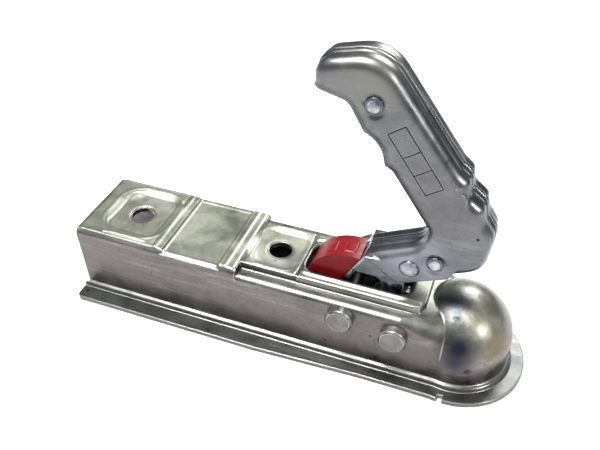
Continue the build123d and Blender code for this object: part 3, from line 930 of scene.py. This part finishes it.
@dataclass
class HandleShells:
    """The two pressed halves of the handle, places in millimetres from the front bolt."""

    half_width: float = 12.0
    sheet: float = 2.4
    seam: float = 0.15
    pitch: float = 1.3
    corners: tuple[Corner, ...] = (
        ((-55.6, 128.1), 5.0),
        ((-56.0, 142.0), 10.0),
        ((-24.0, 149.8), 21.0),
        ((17.2, 97.3), 3.0),
        ((22.2, 93.3), 3.0),
        ((23.4, 86.1), 3.0),
        ((31.2, 80.1), 3.0),
        ((32.9, 72.9), 3.0),
        ((38.9, 64.5), 8.0),
        ((37.6, 42.3), 14.0),
        ((-4.6, 22.8), 5.0),
        ((-25.0, 35.8), 1.2),
        ((12.3, 54.0), 12.0),
        ((-14.6, 91.5), 6.0),
        ((-18.8, 93.8), 1.5),
        ((-21.0, 104.4), 16.0),
        ((-30.3, 109.9), 1.5),
        ((-38.5, 123.7), 8.0),
    )
    open_back: tuple[Spot, ...] = (
        (-54.0, 131.5), (-37.0, 129.5), (-25.0, 114.5), (-13.0, 98.0), (7.5, 67.5),
        (7.5, 62.0), (-2.0, 60.5), (-30.0, 86.5), (-48.0, 108.5), (-60.0, 124.5),
    )
    flat_leg: tuple[Spot, ...] = (
        (-27.5, 35.0), (-23.7, 36.1), (-2.5, 27.1), (14.0, 35.0), (20.0, 37.5),
        (24.0, 30.0), (12.0, 18.5), (-8.0, 13.5), (-28.0, 26.5),
    )
    outer: tuple[Spot, ...] = (
        (0.6, 0.15), (0.1, 0.5), (0.0, 1.1), (0.0, 2.4), (0.25, 2.9), (0.7, 3.4), (0.6, 6.0),
        (0.6, 7.6), (1.1, 9.0), (2.1, 10.4), (3.5, 11.4), (5.2, 11.9), (7.0, 12.0),
    )
    rivets: tuple[Spot, ...] = ((-26.0, 125.0), (13.0, 41.5))
    dent_radius: float = 7.2
    dent_floor: float = 4.9
    dent_depth: float = 0.9
    dent_rings: int = 8
    frame_middle: Spot = (-3.8, 100.7)
    frame_turn: float = -54.0
    frame_size: Spot = (36.0, 9.6)
    frame_bars: tuple[float, ...] = (-4.0, 6.5)
    groove: float = 0.3
    groove_half: float = 0.05
    scribe_half: float = 0.35
    line_pitch: float = 1.2
    line_edge: float = 0.3
    deepest: float = 7.0
    probe: float = 0.5
    crowding: float = 0.88
    leg_ease: float = 0.3
    leg_slope: float = 0.8
    spread: float = 3.2
    clearance: float = 1.6
    margin: float = 0.8
    weld: float = 1e-6
    same_spot: float = 1e-5
    floor_inset: float = 3.0
    floor_bend: float = 0.6
    wall_top: float = 1.0
    spokes: int = 8
    more_spokes: int = 4

    def reaches(self, outline: Sequence[Vector], inward: Sequence[Vector]) -> list[float]:
        """How far each place of the outline can be turned in before the ring folds.

        Args:
            outline: the outline.
            inward: directions into the sheet.

        Returns:
            The greatest inset at each place.
        """
        limits = []
        for place, way in zip(outline, inward):
            inset = self.probe
            while inset < self.deepest:
                ahead = inset + self.probe
                if min((place + way * ahead - other).length for other in outline) < self.crowding * ahead:
                    break
                inset = ahead
            limits.append(inset)
        count = len(limits)
        limits = [min(limits[i - 1], limits[i], limits[(i + 1) % count]) for i in range(count)]
        for _ in range(2):
            limits = [(limits[i - 1] + limits[i] + limits[(i + 1) % count]) / 3 for i in range(count)]
        return limits

    def frame_lines(self) -> list[Line]:
        """Scribed lines of the plain frame on the near cheek.

        Returns:
            Start and end of each line.
        """
        length, width = (value / 2 for value in self.frame_size)
        corners = ((-length, -width), (length, -width), (length, width), (-length, width))
        flat = list(zip(corners, corners[1:] + corners[:1]))
        flat += [((bar, -width), (bar, width)) for bar in self.frame_bars]
        turn = Matrix.Rotation(math.radians(self.frame_turn), 2)
        middle = Vector(self.frame_middle)
        return [(turn @ Vector(first) + middle, turn @ Vector(last) + middle) for first, last in flat]

    def depth_at(self, place: Vector, lines: Sequence[Line]) -> float:
        """How deep the cheek is dished or scribed at a place.

        Args:
            place: the place in millimetres.
            lines: scribed lines.

        Returns:
            The depth in millimetres.
        """
        deep = self.groove if in_line(place, lines, self.groove_half) else 0.0
        for rivet in self.rivets:
            away = (place - Vector(rivet)).length
            share = (self.dent_radius - away) / (self.dent_radius - self.dent_floor)
            deep = max(deep, self.dent_depth * eased(share))
        return deep

    def line_rows(self, first: Vector, last: Vector) -> list[list[Vector]]:
        """Places along a scribed line and along both its edges.

        Args:
            first: its start.
            last: its end.

        Returns:
            Three rows of places.
        """
        along = (last - first).normalized()
        across = Vector((-along.y, along.x))
        number = int((last - first).length / self.line_pitch)
        shifts = (0.0, self.line_edge, -self.line_edge)
        return [
            [first.lerp(last, step / number) + across * shift for step in range(number + 1)]
            for shift in shifts
        ]

    def cheek_points(self, rim: Sequence[Vector], lines: Sequence[Line]) -> list[Vector]:
        """Points spread over the cheek, closer round its dents and lines.

        Args:
            rim: the outline that they stay within.
            lines: scribed lines.

        Returns:
            The points.
        """
        fine: list[Vector] = []
        for rivet in self.rivets:
            for ring in range(1, self.dent_rings + 1):
                radius = self.dent_radius * ring / self.dent_rings
                number = self.spokes + self.more_spokes * ring
                for turn in (2 * math.pi * step / number for step in range(number)):
                    fine.append(Vector(rivet) + radius * Vector((math.cos(turn), math.sin(turn))))
        for first, last in lines:
            fine += [spot for row in self.line_rows(first, last) for spot in row]
        low = Vector((min(p.x for p in rim), min(p.y for p in rim)))
        high = Vector((max(p.x for p in rim), max(p.y for p in rim)))
        columns, rows = (int((high[axis] - low[axis]) / self.spread) for axis in range(2))
        coarse = [
            low + Vector(((column + 0.5 * (row % 2)) * self.spread, row * self.spread))
            for row in range(rows)
            for column in range(columns)
        ]
        coarse = [spot for spot in coarse if all((spot - other).length > self.clearance for other in fine)]
        within = [spot for spot in fine + coarse if inside(spot, rim)]
        return [spot for spot in within if all((spot - edge).length > self.margin for edge in rim)]

    def shell_mesh(self, name: str, side: float, lines: Sequence[Line]) -> bpy.types.Mesh:
        """Mesh of one half.

        Args:
            name: the mesh's name.
            side: -1 for the near half and 1 for the far half.
            lines: scribed lines on its cheek.

        Returns:
            The mesh.
        """
        outline = rounded_outline(self.corners, self.pitch)
        back, foot = ([Vector(place) for place in zone] for zone in (self.open_back, self.flat_leg))
        is_flat = [inside(point, foot) for point in outline]
        is_open = [flat or inside(point, back) for point, flat in zip(outline, is_flat)]
        leg = [point for point, flat in zip(outline, is_flat) if flat]
        inward = [inner - point for inner, point in zip(turned_in(outline, 1.0), outline)]
        limits = self.reaches(outline, inward)
        easing = [
            self.leg_ease + self.leg_slope * min((point - other).length for other in leg)
            for point in outline
        ]
        floor = self.half_width - self.sheet
        form = bmesh.new()
        rings: list[list[bmesh.types.BMVert]] = []

        def lay(inset: float, distance: float, skin: bool) -> list[Vector]:
            """Lays one ring of corners, held to the sheet's edge where the half is open.

            Args:
                inset: how far inside the outline it lies.
                distance: how far from the middle plane it lies.
                skin: whether it is on the outside of the sheet.

            Returns:
                The corners, flat.
            """
            spots = []
            verts = []
            for index, point in enumerate(outline):
                depth, turn = distance, inset
                if skin and is_flat[index]:
                    depth, turn = (floor if distance < floor else self.half_width), 0.0
                elif is_open[index] and distance < floor:
                    depth, turn = floor, (0.0 if skin else max(inset, self.sheet))
                if skin:
                    turn = min(turn, easing[index])
                spots.append(point + inward[index] * min(turn, limits[index]))
                verts.append(form.verts.new(from_bolt(spots[-1], side * depth)))
            rings.append(verts)
            return spots

        bottom = lay(self.sheet + self.floor_inset, floor, False)
        lay(self.sheet + self.floor_bend, floor, False)
        lay(self.sheet, floor - self.wall_top, False)
        lay(self.sheet, self.seam, False)
        for inset, distance in self.outer:
            rim = lay(inset, distance, True)
        join_rings(form, rings)
        spread = self.cheek_points(rim, lines)
        self.fill_cheek(form, rings[-1], rim, spread, side * self.half_width, lines, True)
        self.fill_cheek(form, rings[0], bottom, [], side * floor, (), False)
        bmesh.ops.remove_doubles(form, verts=form.verts, dist=self.weld)
        bmesh.ops.dissolve_degenerate(form, dist=self.weld, edges=form.edges)
        if form.calc_volume(signed=True) < 0.0:
            bmesh.ops.reverse_faces(form, faces=form.faces)
        return finished(name, form)

    def fill_cheek(
        self,
        form: bmesh.types.BMesh,
        ring: Sequence[bmesh.types.BMVert],
        rim: Sequence[Vector],
        extra: Sequence[Vector],
        distance: float,
        lines: Sequence[Line],
        clockwise: bool,
    ) -> None:
        """Fills a cheek inside its rim.

        Args:
            form: the mesh being made.
            ring: corners of the rim.
            rim: the same corners, flat.
            extra: places spread over the cheek.
            distance: the cheek's distance from the middle plane.
            lines: scribed lines.
            clockwise: the way round that its faces are laid.
        """
        spots = list(rim) + list(extra)
        edges = [(index, (index + 1) % len(rim)) for index in range(len(rim))]
        known = {spot_key(spot): index for index, spot in enumerate(spots)}
        for first, last in lines:
            for row in self.line_rows(first, last):
                found = [known.get(spot_key(spot)) for spot in row]
                edges += [pair for pair in zip(found, found[1:]) if None not in pair]
        made, _, faces, origin, _, _ = delaunay_2d_cdt(spots, edges, [], 1, self.same_spot)
        verts = []
        for place, sources in zip(made, origin):
            first = sources[0] if sources else len(rim)
            if first < len(rim):
                verts.append(ring[first])
            else:
                deep = self.depth_at(place, lines)
                verts.append(form.verts.new(from_bolt(place, distance - math.copysign(deep, distance))))
        for face in faces:
            flat = [made[index] for index in face]
            middle = sum(flat, Vector((0.0, 0.0))) / len(face)
            corners = [verts[index] for index in face]
            area = sum(flat[k - 1].cross(flat[k]) for k in range(len(face)))
            if (area < 0.0) != clockwise:
                corners.reverse()
            if len(set(corners)) > 2 and inside(middle, rim) and form.faces.get(corners) is None:
                # Faces within a scribed line take the second finish: painted shade in the groove.
                scribed = all(in_line(spot, lines, self.scribe_half) for spot in (middle, *flat))
                form.faces.new(corners).material_index = int(scribed)

    def build(self, material: bpy.types.Material, scribed: bpy.types.Material) -> None:
        """Builds both halves.

        Args:
            material: their finish.
            scribed: finish of the scribed lines, near black as painted shade in the grooves.
        """
        near_mesh = self.shell_mesh("near_half", -1.0, self.frame_lines())
        near = add_piece("near_half", near_mesh, material, "handle")
        far_mesh = self.shell_mesh("far_half", 1.0, ())
        far = add_piece("far_half", far_mesh, material, "handle")
        near_mesh.materials.append(scribed)
        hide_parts("handle_shell_near")
        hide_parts("handle_shell_far")


@dataclass
class LeverPlate:
    """Folded near cheek of the lever above the slot, places in millimetres from the front bolt."""

    corners: tuple[Corner, ...] = (
        ((-31.2, 21.4), 0.8),
        ((-23.6, 33.0), 1.5),
        ((-18.0, 33.0), 2.0),
        ((-2.4, 24.5), 2.0),
        ((-3.2, 20.8), 1.5),
    )
    pitch: float = 0.6
    outer: float = 9.5
    inner: float = 8.2
    rounding: float = 0.35
    edge: float = 0.3
    face_inset: float = 1.4

    def build(self, material: bpy.types.Material) -> None:
        """Builds the plate.

        Args:
            material: its finish.
        """
        outline = rounded_outline(self.corners, self.pitch)
        form = bmesh.new()
        rings = []
        for inset, depth in (
            (self.rounding, self.inner),
            (0.0, self.inner + self.edge),
            (0.0, self.outer - self.edge),
            (self.rounding, self.outer),
            (self.face_inset, self.outer),
        ):
            rings.append([form.verts.new(from_bolt(spot, -depth)) for spot in turned_in(outline, inset)])
        join_rings(form, rings)
        caps = [form.faces.new(rings[0]), form.faces.new(rings[-1])]
        bmesh.ops.triangulate(form, faces=caps)
        bmesh.ops.recalc_face_normals(form, faces=form.faces)
        add_piece("lever_cheek", finished("lever_cheek", form), material, "handle")


@dataclass
class CapPads:
    """Two plain raised pads on the red cap, in millimetres and degrees."""

    axis: Spot = (-64.0, 17.3)
    radius: float = 24.6
    pads: tuple[tuple[float, float, float, float], ...] = (
        (-34.0, -22.0, -5.5, 3.5),
        (-12.0, 6.0, -5.5, 4.5),
    )
    lift: float = 0.45
    bury: float = 0.15
    number: int = 18
    border: int = 2

    def build(self, material: bpy.types.Material) -> None:
        """Builds both pads.

        Args:
            material: their finish.
        """
        places, faces = [], []
        steps = range(self.number + 1)
        for low, high, near, far in self.pads:
            start = len(places)
            for j in steps:
                across = near + (far - near) * j / self.number
                for i in steps:
                    share = min(i, j, self.number - i, self.number - j) / self.border
                    reach = self.radius - self.bury + (self.lift + self.bury) * min(share, 1.0)
                    turn = math.radians(low + (high - low) * i / self.number)
                    along, up = reach * math.sin(turn), reach * math.cos(turn)
                    places.append(Vector((self.axis[0] + along, across, self.axis[1] + up)) * MM)
            for j in range(self.number):
                for i in range(self.number):
                    corner = start + j * len(steps) + i
                    faces.append((corner, corner + 1, corner + len(steps) + 1, corner + len(steps)))
        mesh = bpy.data.meshes.new("cap_pads")
        mesh.from_pydata(places, [], faces)
        add_piece("cap_pads", mesh, material, "handle", 60.0)


@dataclass
class HandleGroup:
    """The raised handle, its lever, catch, jaw and red cap."""

    shells: tuple[str, ...] = ("handle_shell_near", "handle_shell_far")
    rivets: tuple[str, ...] = (
        "grip_rivet", "heel_rivet", "pivot_rivet", "jaw_rivet_front", "jaw_rivet_rear"
    )
    works: tuple[str, ...] = ("clamp_lever", "ball_jaw", "release_catch")
    springs: tuple[str, ...] = ("main_spring", "catch_spring")
    cap: str = "indicator"

    def shell_finish(self) -> ZincFinish:
        """Smooth zinc of the handle's halves, with its specks, cloudy places and a painted dark reflection
        along the spine.

        Returns:
            The finish.
        """
        return ZincFinish(
            "zinc_handle",
            upper=(0.27, 0.285, 0.31),
            side=(0.138, 0.139, 0.15),
            dark=(0.06, 0.06, 0.068),
            bright=(0.28, 0.285, 0.31),
            roughness=0.23,
            streak_turn=(0.0, 50.0, 0.0),
            streak=0.25,
            # Painted dark reflection along the rounded spine.
            spine_reflection=(0.05, 0.052, 0.062),
            marks=(
                *specks(
                    ((-1.2, -12.0, 75.8), 0.8, 0.3),
                    ((3.0, -12.0, 63.5), 0.8, 0.3),
                    ((-65.2, -12.0, 130.3), 0.5, 0.2),
                    ((-82.3, -12.0, 141.0), 0.5, 0.2),
                ),
                Mark((-16.0, -12.0, 92.0), 16.0, (0.085, 0.08, 0.09), 0.5, 10.0),
                Mark((-40.0, -12.0, 146.0), 10.0, (0.09, 0.085, 0.09), 0.5, 8.0),
                Mark((-30.0, -12.0, 52.0), 14.0, (0.27, 0.30, 0.35), 0.6, 8.0),
                Mark((-62.0, -8.0, 152.0), 15.0, (0.17, 0.172, 0.14), 0.7, 9.0, True),
            ),
        )

    def dress(self) -> None:
        """Gives the handle's nodes their finishes."""
        plate = self.shell_finish().make()
        dress(self.shells, plate)
        # Painted shade: the scribed lines are painted near black.
        line = (0.025, 0.025, 0.03)
        scribed = ZincFinish("scribed_line_shade", line, line, (0.01, 0.01, 0.012), (0.05, 0.05, 0.055), 0.6)
        HandleShells().build(plate, scribed.make())
        # Painted light on the rivets: dark heads, painted as shade round each, and painted highlight discs
        # on their tops.
        head = (0.05, 0.055, 0.075)
        head_glint = (0.42, 0.44, 0.47)
        rivet = ZincFinish(
            "zinc_rivet",
            upper=head,
            side=head,
            dark=(0.02, 0.022, 0.035),
            bright=(0.3, 0.31, 0.34),
            cloud=160.0,
            marks=(
                Mark((-58.0, -12.2, 136.5), 3.1, head_glint, 1.0, 0.3),
                Mark((-19.0, -12.2, 53.0), 3.1, head_glint, 1.0, 0.3),
                Mark((-31.5, -14.0, 46.5), 5.0, (0.35, 0.37, 0.40), 1.0, 0.4),
            ),
        )
        # Painted shade, near black, on the lever's cheek where it goes down into the slot.
        slot_shade = (0.012, 0.014, 0.03)
        lever = ZincFinish(
            "zinc_lever",
            upper=(0.32, 0.345, 0.38),
            side=(0.22, 0.24, 0.27),
            dark=(0.10, 0.11, 0.13),
            bright=(0.5, 0.52, 0.56),
            roughness=0.26,
            marks=(
                Mark((-46.0, -9.3, 26.0), 5.4, slot_shade, 1.0, 0.8),
                Mark((-36.0, -9.3, 27.0), 4.6, slot_shade, 1.0, 0.8),
            ),
        )
        spring = ZincFinish(
            "spring_wire",
            upper=(0.3, 0.3, 0.31),
            side=(0.28, 0.28, 0.29),
            dark=(0.12, 0.12, 0.13),
            bright=(0.5, 0.5, 0.5),
        )
        dress(self.rivets, rivet.make())
        dress(self.springs, spring.make())
        steel = lever.make()
        dress(self.works, steel)
        LeverPlate().build(steel)
        red = PlasticFinish("red_plastic", colour=(0.17, 0.002, 0.006), dust=(0.20, 0.012, 0.015)).make()
        dress((self.cap,), red)
        CapPads().build(red)


@dataclass
class Studio:
    """Floor, lights, sky and the camera at the photograph's angle, in metres and degrees."""

    azimuth: float = 19.443
    elevation: float = 39.915
    roll: float = 0.938
    lens: float = 41.41
    sensor: float = 36.0
    nearest: float = 0.01
    eye: Point = (0.0015, -0.2759, 0.2923)
    floor_height: float = -0.0193
    floor_size: float = 6.0
    floor_colour: Colour = (0.86, 0.86, 0.86)
    lit_centre: Point = (-0.08, 0.0, 0.05)
    lamps: tuple[tuple[str, Point, float, float], ...] = (
        ("key", (-0.35, -0.25, 1.1), 0.45, 22.0),
        ("fill", (0.9, -0.4, 0.7), 0.3, 8.0),
        ("back", (0.15, 0.95, 0.75), 0.5, 12.0),
    )
    sky: tuple[Spot, ...] = ((0.0, 0.35), (0.3, 0.18), (0.5, 0.55), (0.7, 0.2), (1.0, 0.85))

    def build(self) -> None:
        """Builds everything that isn't part of the head."""
        self.place_camera()
        self.lay_floor()
        self.hang_lights()
        self.fill_sky()
        bpy.context.scene.view_settings.view_transform = "Standard"

    def place_camera(self) -> None:
        """Puts the camera where the photograph was taken."""
        a, e, r = (math.radians(angle) for angle in (self.azimuth, self.elevation, self.roll))
        forward = Vector((-math.sin(a) * math.cos(e), math.cos(a) * math.cos(e), -math.sin(e)))
        right = Vector((math.cos(a), math.sin(a), 0.0))
        down = forward.cross(right)
        right, down = right * math.cos(r) - down * math.sin(r), right * math.sin(r) + down * math.cos(r)
        data = bpy.data.cameras.new("camera")
        data.lens = self.lens
        data.sensor_width = self.sensor
        data.clip_start = self.nearest
        camera = bpy.data.objects.new("camera", data)
        turn = Matrix((right, -down, -forward)).transposed()
        camera.matrix_world = Matrix.Translation(self.eye) @ turn.to_4x4()
        bpy.context.scene.collection.objects.link(camera)
        bpy.context.scene.camera = camera

    def lay_floor(self) -> None:
        """Lays the pale floor under the flange."""
        mesh = bpy.data.meshes.new("floor")
        half, low = self.floor_size / 2, self.floor_height
        corners = [(-half, -half, low), (half, -half, low), (half, half, low), (-half, half, low)]
        mesh.from_pydata(corners, [], [(0, 1, 2, 3)])
        floor = bpy.data.objects.new("floor", mesh)
        bpy.context.scene.collection.objects.link(floor)
        mesh.materials.append(FloorFinish("studio_floor", self.floor_colour).make())

    def hang_lights(self) -> None:
        """Hangs soft lamps over and beside the head."""
        for name, spot, size, power in self.lamps:
            data = bpy.data.lights.new(name, "AREA")
            data.size = size
            data.energy = power
            lamp = bpy.data.objects.new(name, data)
            lamp.location = Vector(spot)
            towards = Vector(self.lit_centre) - lamp.location
            lamp.rotation_euler = towards.to_track_quat("-Z", "Y").to_euler()
            bpy.context.scene.collection.objects.link(lamp)

    def fill_sky(self) -> None:
        """Fills the room with soft light, brightest overhead."""
        world = bpy.data.worlds.new("studio")
        bpy.context.scene.world = world
        world.use_nodes = True
        tree = world.node_tree
        coordinates = tree.nodes.new("ShaderNodeTexCoord")
        split = tree.nodes.new("ShaderNodeSeparateXYZ")
        ramp = tree.nodes.new("ShaderNodeValToRGB")
        tree.links.new(coordinates.outputs["Generated"], split.inputs[0])
        tree.links.new(split.outputs["Z"], ramp.inputs["Fac"])
        tree.links.new(ramp.outputs["Color"], tree.nodes["Background"].inputs["Color"])
        for index, (place, level) in enumerate(self.sky):
            stop = ramp.color_ramp.elements[index] if index < 2 else ramp.color_ramp.elements.new(place)
            stop.position = place
            stop.color = (level, level, level, 1.0)
        tree.nodes["Background"].inputs["Strength"].default_value = 1.0


def main() -> None:
    """Builds the studio and dresses the head, and reports each piece."""
    logging.basicConfig(level=logging.INFO, format="%(message)s")
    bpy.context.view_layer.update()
    Studio().build()
    LOG.info("studio built")
    for group in (PressedBody(), HandleGroup()):
        group.dress()
        LOG.info("%s dressed", type(group).__name__)


if __name__ == "__main__":
    main()
